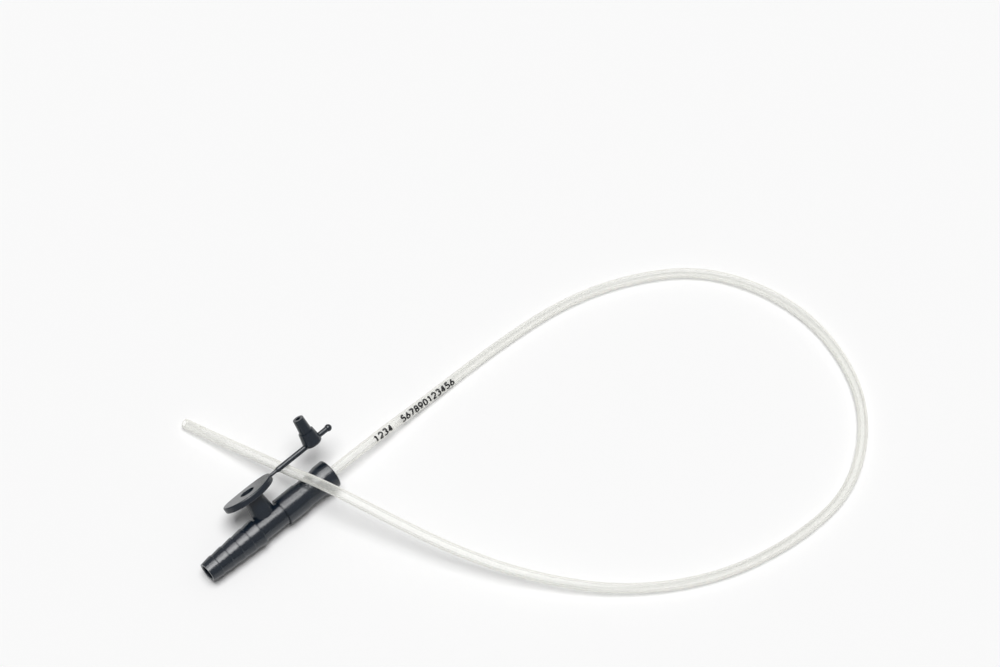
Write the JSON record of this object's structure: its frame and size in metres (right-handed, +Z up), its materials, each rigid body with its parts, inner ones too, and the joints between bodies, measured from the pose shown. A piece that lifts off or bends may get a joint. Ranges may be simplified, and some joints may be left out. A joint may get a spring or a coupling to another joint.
{
  "type": "suction catheter",
  "caption": "Clear flexible suction tube with an open tip and side eyes, bonded into a black barbed connector with a thumb-controlled vent and a strapped stopper.",
  "frame": {"origin": "centre of the suction outlet's face, at the barbed end of the connector", "axes": "+X level, along the connector from the outlet towards the tube; +Z up from the table that it lies on; +Y to the side that the thumb plate leans to"},
  "size_m": [0.2081, 0.1673, 0.0208],
  "materials": {
    "connector_plastic": "satin moulded",
    "tube_plastic": "frosted translucent"
  },
  "bodies": {
    "root": {"connector": "connector_plastic", "catheter_tube": "tube_plastic"}
  },
  "joints": []
}
